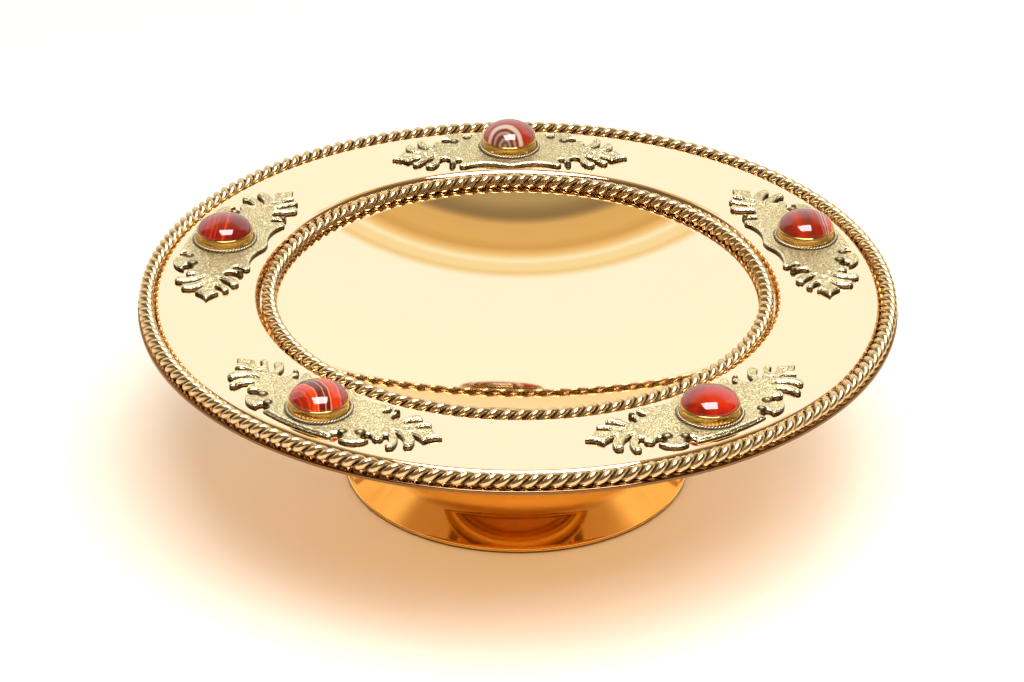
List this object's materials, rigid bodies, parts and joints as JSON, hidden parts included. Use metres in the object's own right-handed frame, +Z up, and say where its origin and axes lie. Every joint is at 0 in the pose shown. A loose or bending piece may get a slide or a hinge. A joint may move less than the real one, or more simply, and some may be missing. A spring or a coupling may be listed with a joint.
{
  "type": "footed paten plate",
  "caption": "Round gilt brass paten plate with a shallow dish, twisted wire borders, a flared foot and red agate cabochons set on leaf plaques round its rim.",
  "frame": {"origin": "centre of the foot's base ring, on the table", "axes": "+Z up along the plate's axis; the front of the plate looks along -Y"},
  "size_m": [0.25, 0.25, 0.078],
  "materials": {
    "plate_brass": "mirror polished and gilt",
    "foot_brass": "mirror polished and gilt",
    "rope_brass": "polished twisted wire, darkened in the grooves",
    "casting_brass": "cast, stippled ground with bright edges",
    "collar_brass": "polished, slightly tarnished",
    "bead_brass": "fine twisted wire",
    "fastener_brass": "turned",
    "agate_1": "polished, orange, maroon and white diagonal bands",
    "agate_2": "polished, red with soft orange clouds",
    "agate_3": "polished, orange red with a pale stripe",
    "agate_4": "polished, brown red with a white and grey arch",
    "agate_5": "polished, deep red with fine orange lines"
  },
  "bodies": {
    "root": {"plate": "plate_brass", "foot": "foot_brass", "outer_rope": "rope_brass", "inner_rope": "rope_brass", "plaque_1": "casting_brass", "setting_cup_1": "collar_brass", "bezel_collar_1": "collar_brass", "beaded_wire_1": "bead_brass", "stone_1": "agate_1", "plaque_2": "casting_brass", "setting_cup_2": "collar_brass", "bezel_collar_2": "collar_brass", "beaded_wire_2": "bead_brass", "stone_2": "agate_2", "plaque_3": "casting_brass", "setting_cup_3": "collar_brass", "bezel_collar_3": "collar_brass", "beaded_wire_3": "bead_brass", "stone_3": "agate_3", "plaque_4": "casting_brass", "setting_cup_4": "collar_brass", "bezel_collar_4": "collar_brass", "beaded_wire_4": "bead_brass", "stone_4": "agate_4", "plaque_5": "casting_brass", "setting_cup_5": "collar_brass", "bezel_collar_5": "collar_brass", "beaded_wire_5": "bead_brass", "stone_5": "agate_5", "setting_posts": "fastener_brass", "post_washers": "fastener_brass", "post_nuts": "fastener_brass"}
  },
  "joints": []
}
